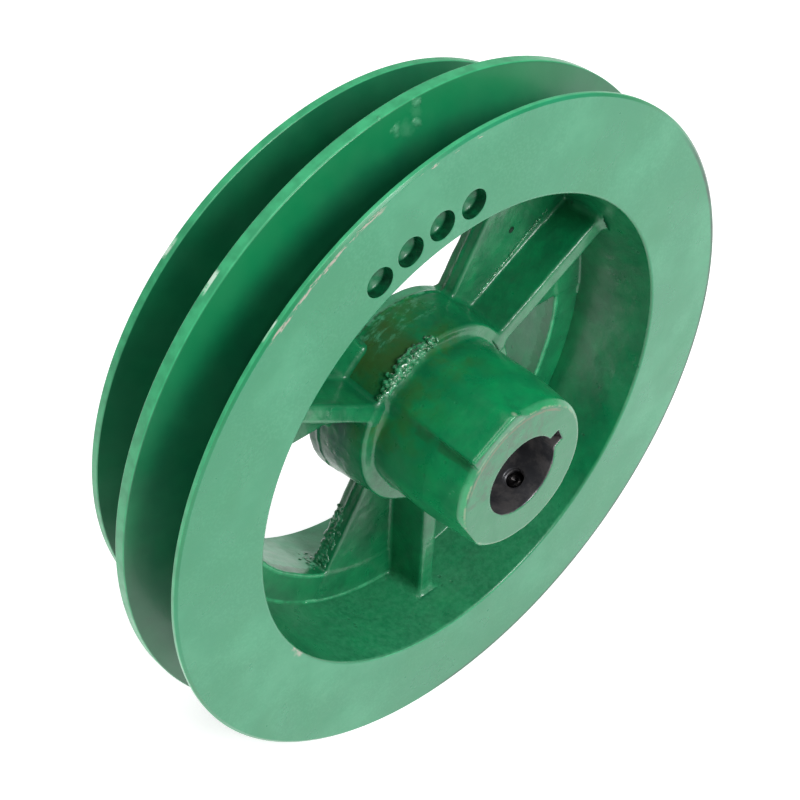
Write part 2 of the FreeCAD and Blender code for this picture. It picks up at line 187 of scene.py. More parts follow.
def hub_field(x, y, z):
    r = np.hypot(x, z)
    angle = np.degrees(np.arctan2(z, x)) % 360
    to_rear = ease(y, 4, LEDGE_Y)
    chamfer_end = BARREL_FRONT_R - FACE_R
    drafted = between(BARREL_FRONT_R, BARREL_R, (y - chamfer_end) / (DRAFT_END - chamfer_end))
    flat = between(FLAT_AT_FACE, BARREL_FLAT, y / FLAT_SLOPE_END)
    body = rmax(r - drafted, turned(x, z, FLAT_ANGLE)[0] - flat, 0.9)
    body = rmax(body, (r - FACE_R - y) * CHAMFER_SLOPE, 0.35)
    for pad in (PLAIN_ANGLE, SCREW_ANGLE):
        # the plain pad's lower side melts into the barrel, the screw pad keeps the barrel's chamfer
        u, v = turned(x, z, pad)
        blended = ease(-v, 1, 6) if pad == PLAIN_ANGLE else 0
        edge = 0.45 + 1.3 * to_rear + 2.6 * blended
        block = np.maximum(rmax(u - PAD_FLAT, np.abs(v) - PAD_HALF, edge), -u)
        front_edge = u - PAD_FLAT + PAD_CHAMFER if pad == PLAIN_ANGLE else r - FACE_R
        block = rmax(block, (front_edge - y) * CHAMFER_SLOPE, 0.35)
        body = rmin(body, block, 0.5 + 2.0 * to_rear + 2.5 * blended)
    body = np.maximum(rmax(body, -y, 0.28), y - LEDGE_Y - 6)
    # the root fillet is larger on the upper side
    upper = ease(angle, 40, 70) * (1 - ease(angle, 150, 175))
    body = rmin(body, boss_field(x, y, z), 0.9 + 1.7 * upper)
    body = rmax(body, BORE_R - r, 0.3)
    u, v = turned(x, z, KEY_ANGLE)
    key = np.maximum(rmax(np.abs(v) - KEY_HALF, u - KEY_REACH, 0.2), -u)
    body = rmax(body, -key, 0.15)
    u, v = turned(x, z, SCREW_ANGLE)
    hole = np.maximum(np.hypot(v, y - SCREW_Y) - THREAD_ROOT, -u)
    return rmax(body, -hole, 0.2)


def hub_cast_share(x, y, z):
    """1 on cast surfaces, 0 on the turned face and bore."""
    r = np.hypot(x, z)
    return ease(r, BORE_R + 4, FACE_R) * ease(y, 0.3, 2.5) * (0.45 + 0.55 * ease(y, 20, LEDGE_Y))


def front_wall_r(y):
    return FRONT_MOUTH_R - (FRONT_MOUTH_R - INNER_R) * (y - FRONT_Y) / (WEB_Y - FRONT_Y)


def rear_wall_r(y):
    return between(WINDOW_R, REAR_MOUTH_R, (y - WEB_REAR_Y) / (REAR_Y - WEB_REAR_Y))


def inner_wall_r(y):
    return np.where(y < WEB_Y, front_wall_r(y), rear_wall_r(y))


def ring_field(x, y, z):
    """Inside of the rim, near the web."""
    r = np.hypot(x, z)
    step = rmax(rear_wall_r(y) - parting_flash(x, y, z) - r, WEB_Y - y, 0.7)
    return rmin(front_wall_r(y) - r, step, 0.8)


def spoke_field(x, y, z, name):
    """A spoke plate with its rib, flared into the rim and the boss."""
    u, v = turned(x, z, SPOKES[name])
    r = np.hypot(x, z)
    c, s = direction(SIDE_ANGLE + 90)
    trim = LEFT_TRIM if name == "left" else 0
    draft = 0.045 * np.abs(y - PARTING_Y) - parting_flash(x, y, z) + 0.25 * (y > PARTING_Y)
    plate = rmax(u * c + v * s + SIDE_OFFSET + trim + draft, u * c - v * s + SIDE_OFFSET + draft, 1.0)
    plate = rmax(plate, WEB_Y - y, 0.8)
    plate = rmax(plate, y - WEB_REAR_Y, 0.6)
    half = RIB_TIP + (RIB_FOOT - RIB_TIP) * (y - LEDGE_Y) / (WEB_Y - LEDGE_Y)
    rib = rmax(np.abs(v) - half, LEDGE_Y - y, 1.15)
    rib = np.maximum(rib, y - WEB_Y - 3)
    blade = np.maximum(rmin(plate, rib, 1.3), -u)
    hidden, reach = 0.04, 4.2  # depth under the neighbours' surfaces, and how far the flares go
    flare = 1.3 + 1.9 * (1 - ease(y, 43, 47))
    joined = rmin(blade, ring_field(x, y, z) + hidden, flare)
    joined = rmin(joined, boss_field(x, y, z) + hidden, 1.7)
    joined = np.maximum(joined, blade - reach)
    inner, outer = 26, between(78, 72, (y - 48) / (WEB_REAR_Y - 48))
    return np.maximum(np.maximum(joined, inner - r), r - outer)


# ---------------------------------------------------------------- meshes
def make_piece(name, points, faces, material, body="pulley", nodes=()):
    """Object from points in mm, riding on a body and standing for CAD nodes."""
    mesh = bpy.data.meshes.new(name)
    mesh.from_pydata((np.asarray(points) * MM).tolist(), [], faces)
    mesh.validate()
    mesh.materials.append(material)
    mesh.polygons.foreach_set("use_smooth", [True] * len(mesh.polygons))
    piece = bpy.data.objects.new(name, mesh)
    bpy.context.scene.collection.objects.link(piece)
    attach(piece, body)
    if nodes:
        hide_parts(*nodes)
    return piece


def on_field(field, points):
    """Points moved onto the zero level of a field, and their outward directions."""
    step = 0.02
    for _ in range(3):
        gradient = np.empty_like(points)
        for axis in range(3):
            ahead, behind = points.copy(), points.copy()
            ahead[:, axis] += step
            behind[:, axis] -= step
            gradient[:, axis] = (field(*ahead.T) - field(*behind.T)) / (2 * step)
        size = np.maximum(np.linalg.norm(gradient, axis=1), 0.3)
        move = np.clip(field(*points.T) / size, -0.3, 0.3)
        points = points - gradient / size[:, None] * move[:, None]
    return points, gradient / size[:, None]


def surface_net(field, low, high, step):
    """Quads around the zero level of a field sampled on a grid."""
    axes = [np.arange(a, b + step, step) for a, b in zip(low, high)]
    count = [len(a) for a in axes]
    value = np.empty(count, np.float32)
    for i in range(0, count[0], 24):
        value[i:i + 24] = field(*np.meshgrid(axes[0][i:i + 24], axes[1], axes[2], indexing="ij"))
    inside = value < 0
    cells = [c - 1 for c in count]
    filled = np.zeros(cells, np.int8)
    corners = [(a, b, c) for a in (0, 1) for b in (0, 1) for c in (0, 1)]
    for a, b, c in corners:
        filled += inside[a:a + cells[0], b:b + cells[1], c:c + cells[2]]
    active = (filled > 0) & (filled < 8)
    cell = np.argwhere(active)
    index = np.full(cells, -1, np.int64)
    index[active] = np.arange(len(cell))
    total, hits = np.zeros((len(cell), 3)), np.zeros(len(cell))
    for axis in range(3):
        unit = np.eye(3, dtype=int)[axis]
        for corner in corners:
            if corner[axis]:
                continue
            start = cell + corner
            first, last = value[tuple(start.T)], value[tuple((start + unit).T)]
            crossed = (first < 0) != (last < 0)
            share = np.where(crossed, first / np.where(crossed, first - last, 1), 0)
            total += (start + share[:, None] * unit) * crossed[:, None]
            hits += crossed
    points = np.array([a[0] for a in axes]) + step * total / hits[:, None]
    quads = []
    for axis in range(3):
        b, c = (axis + 1) % 3, (axis + 2) % 3
        here = [slice(None)] * 3
        here[axis] = slice(0, -1)
        there = [slice(None)] * 3
        there[axis] = slice(1, None)
        edge = inside[tuple(here)] != inside[tuple(there)]
        where = np.argwhere(edge)
        where = where[(where[:, b] > 0) & (where[:, c] > 0)
                      & (where[:, b] < count[b] - 1) & (where[:, c] < count[c] - 1)]
        ub, uc = np.eye(3, dtype=int)[b], np.eye(3, dtype=int)[c]
        loop = [index[tuple((where - ub - uc).T)], index[tuple((where - uc).T)],
                index[tuple(where.T)], index[tuple((where - ub).T)]]
        quad = np.stack(loop, axis=1)
        outward = inside[tuple(where.T)]
        quad[~outward] = quad[~outward][:, ::-1]
        quads.append(quad)
    return points, np.concatenate(quads)


def field_piece(name, field, low, high, step, material, nodes, share=None, skin=1.0):
    """Piece whose surface is a field's zero level with the cast skin on it."""
    points, quads = surface_net(field, low, high, step)
    points, outward = on_field(field, points)
    height = skin * cast_skin(*points.T)
    if share is not None:
        height = height * share(*points.T)
    points = points + outward * height[:, None]
    return make_piece(name, points, quads.tolist(), material, nodes=nodes)


def inner_wall_share(r, y):
    """Share of the cast skin on the recess and window walls."""
    near = 1 - ease(np.abs(r - inner_wall_r(y)), 0.3, 1.2)
    return near * ease(y, FRONT_Y + 0.6, FRONT_Y + 3) * (1 - ease(y, REAR_Y - 3, REAR_Y - 0.6))


def on_inner_wall(x, y, z):
    return (np.abs(np.hypot(x, z) - inner_wall_r(y)) < 0.8) & (y > FRONT_Y + 0.25) & (y < REAR_Y - 0.25)


def rounded_outline(corners):
    """Closed outline through corners (radius, depth, rounding, spacing of the run that follows)."""
    count = len(corners)
    pieces = []
    for i, (r, y, rounding, _) in enumerate(corners):
        here = np.array([r, y], float)
        before = np.array(corners[i - 1][:2], float) - here
        after = np.array(corners[(i + 1) % count][:2], float) - here
        before, after = before / np.linalg.norm(before), after / np.linalg.norm(after)
        turn = math.pi - math.acos(np.clip(before @ after, -1, 1))
        if rounding <= 0 or turn < 0.05:
            pieces.append([here])
            continue
        reach = rounding * math.tan(turn / 2)
        middle = before + after
        centre = here + middle / np.linalg.norm(middle) * rounding / math.cos(turn / 2)
        steps = max(2, math.ceil(math.degrees(turn) / ARC_STEP))
        first, last = here + before * reach - centre, here + after * reach - centre
        start = math.atan2(first[1], first[0])
        sweep = (math.atan2(last[1], last[0]) - start + math.pi) % (2 * math.pi) - math.pi
        pieces.append([centre + rounding * np.array([math.cos(start + sweep * k / steps),
                                                     math.sin(start + sweep * k / steps)])
                       for k in range(steps + 1)])
    outline = []
    for i, piece in enumerate(pieces):
        outline += piece
        a, b = piece[-1], pieces[(i + 1) % count][0]
        runs = max(1, round(np.linalg.norm(b - a) / corners[i][3]))
        outline += [a + (b - a) * k / runs for k in range(1, runs)]
    return np.array(outline)


def ring_piece(name, corners, material):
    """Ring turned about the bore axis from an outline, with the cast skin on its inner wall."""
    outline = rounded_outline(corners)
    count = len(outline)
    turn = np.arange(SEGMENTS) * 2 * math.pi / SEGMENTS
    r, y = np.tile(outline[:, 0], SEGMENTS), np.tile(outline[:, 1], SEGMENTS)
    c, s = np.repeat(np.cos(turn), count), np.repeat(np.sin(turn), count)
    r = r - inner_wall_share(r, y) * cast_skin(r * c, y, r * s)
    points = np.stack([r * c, y, r * s], axis=1)
    i = np.arange(SEGMENTS)[:, None] * count
    j = np.arange(count)[None, :]
    after_i, after_j = (i + count) % (SEGMENTS * count), (j + 1) % count
    quads = np.stack([i + j, after_i + j, after_i + after_j, i + after_j], axis=-1).reshape(-1, 4)
    out, deep = outline.T
    if np.sum(out * np.roll(deep, -1) - np.roll(out, -1) * deep) < 0:
        quads = quads[:, ::-1]
    piece = make_piece(name, points, quads.tolist(), material, nodes=[name])
    piece.data.set_sharp_from_angle(angle=math.radians(32))
    return piece


def second_material(piece, material, chosen):
    """Gives a material to the faces whose centres (x, y, z in mm) chosen picks."""
    faces = piece.data.polygons
    centres = np.empty(len(faces) * 3)
    faces.foreach_get("center", centres)
    picked = chosen(*(centres.reshape(-1, 3) / MM).T)
    piece.data.materials.append(material)
    slots = np.zeros(len(faces), np.int32)
    faces.foreach_get("material_index", slots)
    slots[picked] = len(piece.data.materials) - 1
    faces.foreach_set("material_index", slots)


def steady_normals(piece):
    """Keeps flat faces flat beside their rounded edges."""
    weighted = piece.modifiers.new("normals", "WEIGHTED_NORMAL")
    weighted.mode, weighted.weight, weighted.keep_sharp = "FACE_AREA", 60, True


# ---------------------------------------------------------------- materials
class Shader:
    """One material's node tree, with short calls for its nodes. Lengths are in mm in the CAD frame."""

    def __init__(self, name, ground):
        self.colour, self.normal = ground, None
        self.material = bpy.data.materials.new(name)
        self.material.use_nodes = True
        self.tree = self.material.node_tree
        self.place = self.vector("SCALE", self.add("ShaderNodeTexCoord").outputs["Object"], 1 / MM)
        self.x, self.y, self.z = self.add("ShaderNodeSeparateXYZ", {0: self.place}).outputs
        self.r = self.math("SQRT", self.math("ADD", self.times(self.x, self.x), self.times(self.z, self.z)))
        self.angle = self.times(self.math("ARCTAN2", self.z, self.x), 180 / math.pi)

    def add(self, kind, inputs=(), **settings):
        node = self.tree.nodes.new(kind)
        for key, value in settings.items():
            setattr(node, key, value)
        for key, value in dict(inputs).items():
            self.feed(node.inputs[key], value)
        return node

    def feed(self, socket, value):
        if isinstance(value, bpy.types.NodeSocket):
            self.tree.links.new(value, socket)
        else:
            socket.default_value = value

    def vector(self, operation, a, b):
        second = "Scale" if operation == "SCALE" else 1
        return self.add("ShaderNodeVectorMath", {0: a, second: b}, operation=operation).outputs[0]

    def math(self, operation, a, b=0.0):
        return self.add("ShaderNodeMath", {0: a, 1: b}, operation=operation).outputs[0]

    def times(self, *values):
        result = values[0]
        for value in values[1:]:
            result = self.math("MULTIPLY", result, value)
        return result

    def most(self, *values):
        result = values[0]
        for value in values[1:]:
            result = self.math("MAXIMUM", result, value)
        return result

    def gap(self, a, b):
        return self.math("ABSOLUTE", self.math("SUBTRACT", a, b))

    def mix(self, share, a, b):
        """Number between a and b."""
        return self.math("ADD", self.math("MULTIPLY", self.math("SUBTRACT", b, a), share), a)

    def ramp(self, value, start, end, low=0.0, high=1.0):
        return self.add("ShaderNodeMapRange", {"Value": value, "From Min": start, "From Max": end,
                                               "To Min": low, "To Max": high},
                        interpolation_type="SMOOTHSTEP").outputs[0]

    def band(self, value, start, end, soft):
        """1 between start and end, falling to 0 over soft outside them."""
        return self.times(self.ramp(value, start - soft, start), self.ramp(value, end, end + soft, 1.0, 0.0))

    def sector(self, first, last, soft):
        """Share of a run around the axis, in degrees from -180 to 180."""
        return self.band(self.angle, first, last, soft)

    def spot(self, x, y, z, radius, soft, place=None):
        """Share of a small round spot."""
        away = self.add("ShaderNodeVectorMath", {0: place or self.place, 1: (x, y, z)}, operation="DISTANCE")
        return self.ramp(away.outputs["Value"], radius + soft, radius)

    def noise(self, size, detail=3.0, roughness=0.5, place=None):
        return self.add("ShaderNodeTexNoise", {"Vector": place or self.place, "Scale": 1 / size,
                                               "Detail": detail, "Roughness": roughness}).outputs[0]

    def cells(self, size):
        return self.add("ShaderNodeTexVoronoi", {"Vector": self.place, "Scale": 1 / size},
                        feature="F1").outputs[0]

    def stretched(self, across, along, down):
        """Place scaled so that patterns run longer along some axes."""
        return self.vector("MULTIPLY", self.place, (1 / across, 1 / along, 1 / down))

    def around(self, per_degree, outward, along):
        """Place as angle, radius and depth, for patterns that follow the turning."""
        return self.add("ShaderNodeCombineXYZ", {0: self.times(self.angle, per_degree),
                                                 1: self.times(self.r, outward),
                                                 2: self.times(self.y, along)}).outputs[0]

    def wandering(self, size, reach):
        """Place pushed about by noise, which makes round spots ragged."""
        noise = self.add("ShaderNodeTexNoise", {"Vector": self.place, "Scale": 1 / size, "Detail": 3})
        push = self.vector("SUBTRACT", noise.outputs["Color"], (0.5, 0.5, 0.5))
        return self.vector("ADD", self.place, self.vector("SCALE", push, 2 * reach))

    def over(self, under, colour, *shares):
        """A colour laid over another by the product of the shares."""
        node = self.add("ShaderNodeMix", data_type="RGBA", clamp_factor=True)
        under, colour = [(*v, 1) if isinstance(v, tuple) else v for v in (under, colour)]
        for socket, value in ((0, self.times(*shares)), (6, under), (7, colour)):
            self.feed(node.inputs[socket], value)
        return node.outputs[2]

    def lay(self, colour, *shares):
        """Lays a colour over what is there, by the product of the shares."""
        self.colour = self.over(self.colour, colour, *shares)

    def bump(self, height, depth):
        """Raises the surface by a height of 0 to 1 that stands for depth mm."""
        node = self.add("ShaderNodeBump", {"Height": height, "Distance": depth * MM, "Strength": 1.0})
        if self.normal:
            self.feed(node.inputs["Normal"], self.normal)
        self.normal = node.outputs[0]

    def dent(self, share, depth):
        self.bump(self.math("SUBTRACT", 1.0, share), depth)

    def finish(self, roughness, coat=0.0, coat_roughness=0.1, metallic=0.0, specular=0.5, emission=0.0):
        values = {"Base Color": self.colour, "Normal": self.normal, "Roughness": roughness,
                  "Metallic": metallic, "Coat Weight": coat, "Coat Roughness": coat_roughness,
                  "Specular IOR Level": specular, "Emission Color": (1, 1, 1, 1),
                  "Emission Strength": emission}
        for name, value in values.items():
            self.feed(self.tree.nodes["Principled BSDF"].inputs[name], value)
        return self.material


GREEN, DEEP_GREEN, BRIGHT_GREEN = (0.003, 0.175, 0.062), (0.002, 0.105, 0.040), (0.002, 0.235, 0.075)
TEAL_GREEN, OLIVE, PALE_GREEN = (0.003, 0.205, 0.088), (0.035, 0.105, 0.015), (0.07, 0.33, 0.17)
# on the next line the first green stands for painted highlights and the last for painted light on the bottom
# of the recess wall
HIGHLIGHT_GREEN, GREY_GREEN, LIT_WALL_GREEN = (0.05, 0.44, 0.19), (0.11, 0.42, 0.24), (0.06, 0.34, 0.17)
FACE_GREEN, HUB_FACE_GREEN, DROP_GREEN = (0.006, 0.182, 0.080), (0.010, 0.145, 0.062), (0.16, 0.44, 0.27)
EDGE_SHADE, GROOVE_SHADE, RIDGE_SHADE = (0.010, 0.045, 0.026), (0.004, 0.088, 0.044), (0.014, 0.060, 0.020)
# the middle colour on the next line is a painted dark streaked reflection on the boss
STAIN, REFLECTION_TEAL, RUBBED = (0.036, 0.080, 0.014), (0.038, 0.090, 0.078), (0.030, 0.080, 0.042)
CHIP_WHITE, CHIP_PINK, BARE_EDGE = (0.88, 0.88, 0.85), (0.42, 0.33, 0.29), (0.26, 0.30, 0.20)
BARE_TIP, BARE_BROWN, PIT_DARK = (0.40, 0.46, 0.36), (0.20, 0.15, 0.11), (0.004, 0.014, 0.009)

# single marks: x, y, z, radius, soft edge
BRUISES = [(-64.1, FRONT_Y, -41.6, 0.9, 1.7), (-65.8, FRONT_Y, -38.9, 0.3, 1.3)]
DROPS = [(-7.3, 40.8, 103.2, 0.2, 1.5), (-8.8, 39.5, 98.8, 0.2, 1.7), (-15.3, 39.9, 99.3, 0.3, 2.0),
         (-19.2, 42.0, 102.6, 0.1, 1.0)]
FAINT_DROPS = [(0.35, (-8.2, 40.2, 101.2, 0.2, 2.2)), (0.45, (-12, 39.6, 98.2, 0.4, 2.4))]
BLOW_HOLE = (40.3, WEB_Y, 38.5, 0.75, 0.4)
PAD_TIP = (-5.0, 0.9, 26.2, 0.5, 1.1)


def rim_chips(s):
    """Bare patches where the flange edges were knocked: at the rear edge of each land, upper left."""
    flecks = s.noise(1.0, 4, 0.72, s.around(0.55, 1.2, 1.1))
    middle = s.times(s.ramp(s.r, FRONT_R - 1.5, FRONT_R - 0.6),
                     s.band(s.y, MIDDLE_START + 2.3, MIDDLE_START + 4.1, 0.3))
    rear = s.times(s.ramp(s.r, REAR_R - 1.5, REAR_R - 0.6), s.ramp(s.y, REAR_Y - 1.6, REAR_Y - 0.9))
    patch = s.times(s.most(middle, rear), s.sector(131.4, 134.0, 0.9))
    front = s.times(s.ramp(s.r, FRONT_R - 0.6, FRONT_R - 0.2), s.ramp(s.y, FRONT_Y + 0.9, FRONT_Y + 1.3),
                    s.ramp(s.y, FRONT_Y + 2.4, FRONT_Y + 2.0), s.sector(132.0, 134.2, 0.8))
    return s.times(s.most(patch, front), s.ramp(flecks, 0.40, 0.44))


def turned_paint_material():
    """Satin green enamel over the turned front flange."""
    s = Shader("turned_paint", GREEN)
    s.lay(TEAL_GREEN, s.ramp(s.noise(30, 4, 0.55), 0.35, 0.68))
    s.lay(DEEP_GREEN, s.ramp(s.noise(9, 3, 0.6), 0.48, 0.78, 0, 0.25))
    face = s.ramp(s.y, FRONT_Y + 0.12, FRONT_Y + 0.05)
    s.lay(FACE_GREEN, face, s.ramp(s.noise(24, 5, 0.62), 0.35, 0.7, 0.6, 1.0))
    dust = s.ramp(s.noise(31, 5, 0.62), 0.46, 0.72)
    s.lay(GREY_GREEN, face, dust, 0.18)
    grain = s.times(s.ramp(s.noise(0.8, 2, 0.6), 0.42, 0.66), s.ramp(s.noise(19, 2), 0.35, 0.6))
    s.lay(GREY_GREEN, face, grain, 0.10)
    # pinkish scuffs along the outer edge of the face
    flecks = s.noise(1.0, 4, 0.72, s.around(0.42, 0.8, 0.8))
    path = s.ramp(s.noise(9, 2), 0.3, 0.7, FRONT_R - 1.8, FRONT_R - 1.1)
    scuffs = s.times(face, s.ramp(s.gap(s.r, path), 0.8, 0.3), s.sector(113, 133, 3),
                     s.ramp(flecks, 0.47, 0.56))
    fewer = s.times(face, s.band(s.r, FRONT_R - 1.8, FRONT_R - 1.1, 0.2), s.sector(92, 108, 3),
                    s.ramp(flecks, 0.58, 0.64))
    s.lay(CHIP_PINK, s.most(scuffs, fewer), 0.75)
    loose = s.wandering(2.2, 1.6)
    bruise = s.most(*[s.spot(*mark, loose) for mark in BRUISES])
    s.lay(CHIP_PINK, bruise, s.ramp(s.noise(1.2, 3, 0.6), 0.35, 0.6, 0.3, 0.7))
    # painted highlight along the rounded lower lip of the mouth
    lip_highlight = s.times(s.ramp(s.r, FRONT_MOUTH_R + 0.75, FRONT_MOUTH_R + 0.35), s.sector(-114, -74, 9),
                  s.ramp(s.noise(5, 3), 0.3, 0.6, 0.4, 1.0))
    s.lay(HIGHLIGHT_GREEN, lip_highlight, 0.7)
    # painted shade on the outer edge of the face at the right, where its chamfer faces away from the light
    painted_edge_shade = s.times(s.ramp(s.r, FRONT_R - 2.1, FRONT_R - 1.5), s.sector(-88, 32, 12))
    s.lay(EDGE_SHADE, painted_edge_shade, s.ramp(s.noise(5, 3), 0.3, 0.7, 0.6, 0.95))
    chips = rim_chips(s)
    s.lay(CHIP_WHITE, chips)
    # painted highlight on the flange land
    s.lay(HIGHLIGHT_GREEN, s.ramp(s.r, FRONT_R - 0.3, FRONT_R - 0.08), s.ramp(s.y, FRONT_Y + 0.4, FRONT_Y + 0.7),
          s.ramp(s.noise(4, 3), 0.3, 0.7, 0.45, 0.8))
    worn = s.most(chips, scuffs)
    roughness = s.math("ADD", s.ramp(s.noise(17, 4, 0.6), 0.3, 0.7, 0.26, 0.36), s.times(worn, 0.3))
    s.bump(s.noise(1.0, 2, 0.6, s.around(0.012, 2.2, 2.2)), 0.008)
    s.bump(s.noise(2.6, 3, 0.55), 0.02)
    s.dent(worn, 0.05)
    return s.finish(roughness, coat=0.2, coat_roughness=0.16, specular=0.44)


def groove_paint_material():
    """Green enamel on the grooves and flange rims, a few thick drops on the middle flange, painted shade and
    highlights.
    """
    s = Shader("groove_paint", DEEP_GREEN)
    s.lay(GREEN, s.ramp(s.noise(24, 4, 0.55), 0.35, 0.68, 0.0, 0.55))
    s.lay(DEEP_GREEN, s.ramp(s.noise(7, 3, 0.6), 0.5, 0.78, 0, 0.2))
    s.lay(GREY_GREEN, s.ramp(s.noise(15, 4, 0.6), 0.3, 0.7, 0.02, 0.07))
    # painted shade, darker deeper in the grooves
    s.lay(GROOVE_SHADE, s.ramp(s.r, FRONT_R - 0.5, FRONT_R - 8),
          s.ramp(s.noise(10, 4, 0.6), 0.3, 0.7, 0.25, 0.6),
          s.ramp(s.y, MIDDLE_START + 10, MIDDLE_START + 4, 0.3, 1.0))
    # painted light: a lit band near the outer edge of the middle flange's front wall, at the top
    outer = s.times(s.ramp(s.r, FRONT_R - 13, FRONT_R - 4), s.ramp(s.y, MIDDLE_START + 1, MIDDLE_START - 0.5),
                    s.sector(75, 125, 35))
    s.lay(BRIGHT_GREEN, outer, 0.45)
    loose = s.wandering(2.6, 1.8)
    drops = s.most(*[s.spot(*mark, loose) for mark in DROPS],
                   *[s.times(s.spot(*mark, loose), share) for share, mark in FAINT_DROPS])
    s.lay(DROP_GREEN, drops, 0.38)
    chips = rim_chips(s)
    s.lay(CHIP_WHITE, chips)
    # painted highlights on the flange lands
    land = s.most(s.ramp(s.r, FRONT_R - 0.3, FRONT_R - 0.08),
                  s.times(s.ramp(s.r, REAR_R - 0.3, REAR_R - 0.08), s.ramp(s.y, REAR_Y - 4, REAR_Y - 3.2)))
    s.lay(HIGHLIGHT_GREEN, land, s.ramp(s.noise(4, 3), 0.3, 0.7, 0.45, 0.8))
    roughness = s.math("ADD", s.ramp(s.noise(13, 4, 0.6), 0.3, 0.7, 0.28, 0.42), s.times(chips, 0.3))
    s.bump(s.noise(1.0, 2, 0.6, s.around(0.012, 1.6, 1.6)), 0.008)
    s.bump(s.noise(3.2, 3, 0.55), 0.025)
    s.bump(drops, 0.25)
    return s.finish(roughness, coat=0.12, coat_roughness=0.14, specular=0.38)


def cast_shader(name):
    """Enamel on the rough casting, and how far a point lies behind the ragged parting line."""
    s = Shader(name, DEEP_GREEN)
    s.lay(GREEN, s.ramp(s.noise(11, 4, 0.6), 0.35, 0.66, 0.25, 1.0))
    s.lay(BRIGHT_GREEN, s.ramp(s.noise(5, 4, 0.65), 0.5, 0.72, 0, 0.35))
    ragged = s.math("ADD", s.y, s.ramp(s.noise(2.6, 3, 0.6), 0.3, 0.7, -0.7, 0.7))
    return s, s.ramp(ragged, PARTING_Y - 0.2, PARTING_Y + 0.5)


def cast_grain(s, depth=1.0):
    """Raises the sand-cast grain under enamel, and gives the share of pits."""
    s.bump(s.noise(0.9, 3, 0.6), 0.045 * depth)
    s.bump(s.noise(2.8, 4, 0.6), 0.16 * depth)
    pits = s.times(s.ramp(s.cells(4.3), 0.16, 0.07), s.ramp(s.noise(9, 1), 0.57, 0.62), s.ramp(s.y, 0.2, 0.5))
    s.dent(pits, 0.14 * depth)
    return pits


def cast_paint_material():
    """Spokes, ribs, web and recess walls."""
    s, behind = cast_shader("cast_paint")
    # grey-green paint on the window walls behind the parting line, with a painted reflection strongest at the
    # lower left
    grey_and_sheen = s.times(behind, s.ramp(s.r, WINDOW_R - 1.2, WINDOW_R - 0.4),
                   s.ramp(s.noise(8, 4, 0.65), 0.3, 0.62, 0.6, 1.0))
    s.lay(GREY_GREEN, grey_and_sheen, s.mix(s.sector(-150, -95, 12), 0.30, 0.80))
    # painted highlights: pale lines on the edges of the open windows and at the foot of the recess wall
    windows = s.most(*[s.sector(first, first + 62, 1.5) for first in (59, -181, -61)])
    step = s.times(s.band(s.y, WEB_Y - 0.3, WEB_Y + 0.5, 0.3), s.band(s.r, WINDOW_R - 1, WINDOW_R + 1.0, 0.4),
                   windows)
    foot = s.times(s.band(s.y, WEB_Y - 0.7, WEB_Y + 0.3, 0.3), s.band(s.r, INNER_R - 0.7, INNER_R + 0.5, 0.3),
                   s.sector(-150, -88, 10))
    s.lay(HIGHLIGHT_GREEN, s.most(step, foot), s.ramp(s.noise(3, 3), 0.35, 0.65, 0.2, 0.6))
    # painted light on the upward-facing bottom of the recess wall
    low = s.times(s.sector(-128, -58, 18), s.band(s.y, FRONT_Y + 1, WEB_Y - 2, 3), s.ramp(s.r, 70, 73))
    s.lay(LIT_WALL_GREEN, low, s.ramp(s.noise(1.6, 4, 0.65), 0.3, 0.7, 0.15, 0.45))
    # pale grey-green dust mixed with a painted sheen on the recess walls
    dust_and_sheen = s.times(s.ramp(s.noise(19, 5, 0.65), 0.5, 0.72), s.ramp(s.noise(2.2, 3, 0.7), 0.35, 0.65),
                    s.ramp(s.r, 55, 70))
    s.lay(GREY_GREEN, dust_and_sheen, 0.16)
    pits, blow_hole = cast_grain(s), s.spot(*BLOW_HOLE)
    s.lay(PIT_DARK, s.most(s.times(pits, 0.2), blow_hole), 0.95)
    roughness = s.math("ADD", s.ramp(s.noise(7, 4, 0.6), 0.3, 0.7, 0.27, 0.44), s.times(grey_and_sheen, 0.12))
    s.dent(blow_hole, 0.8)
    return s.finish(roughness, coat=0.25, coat_roughness=0.15)


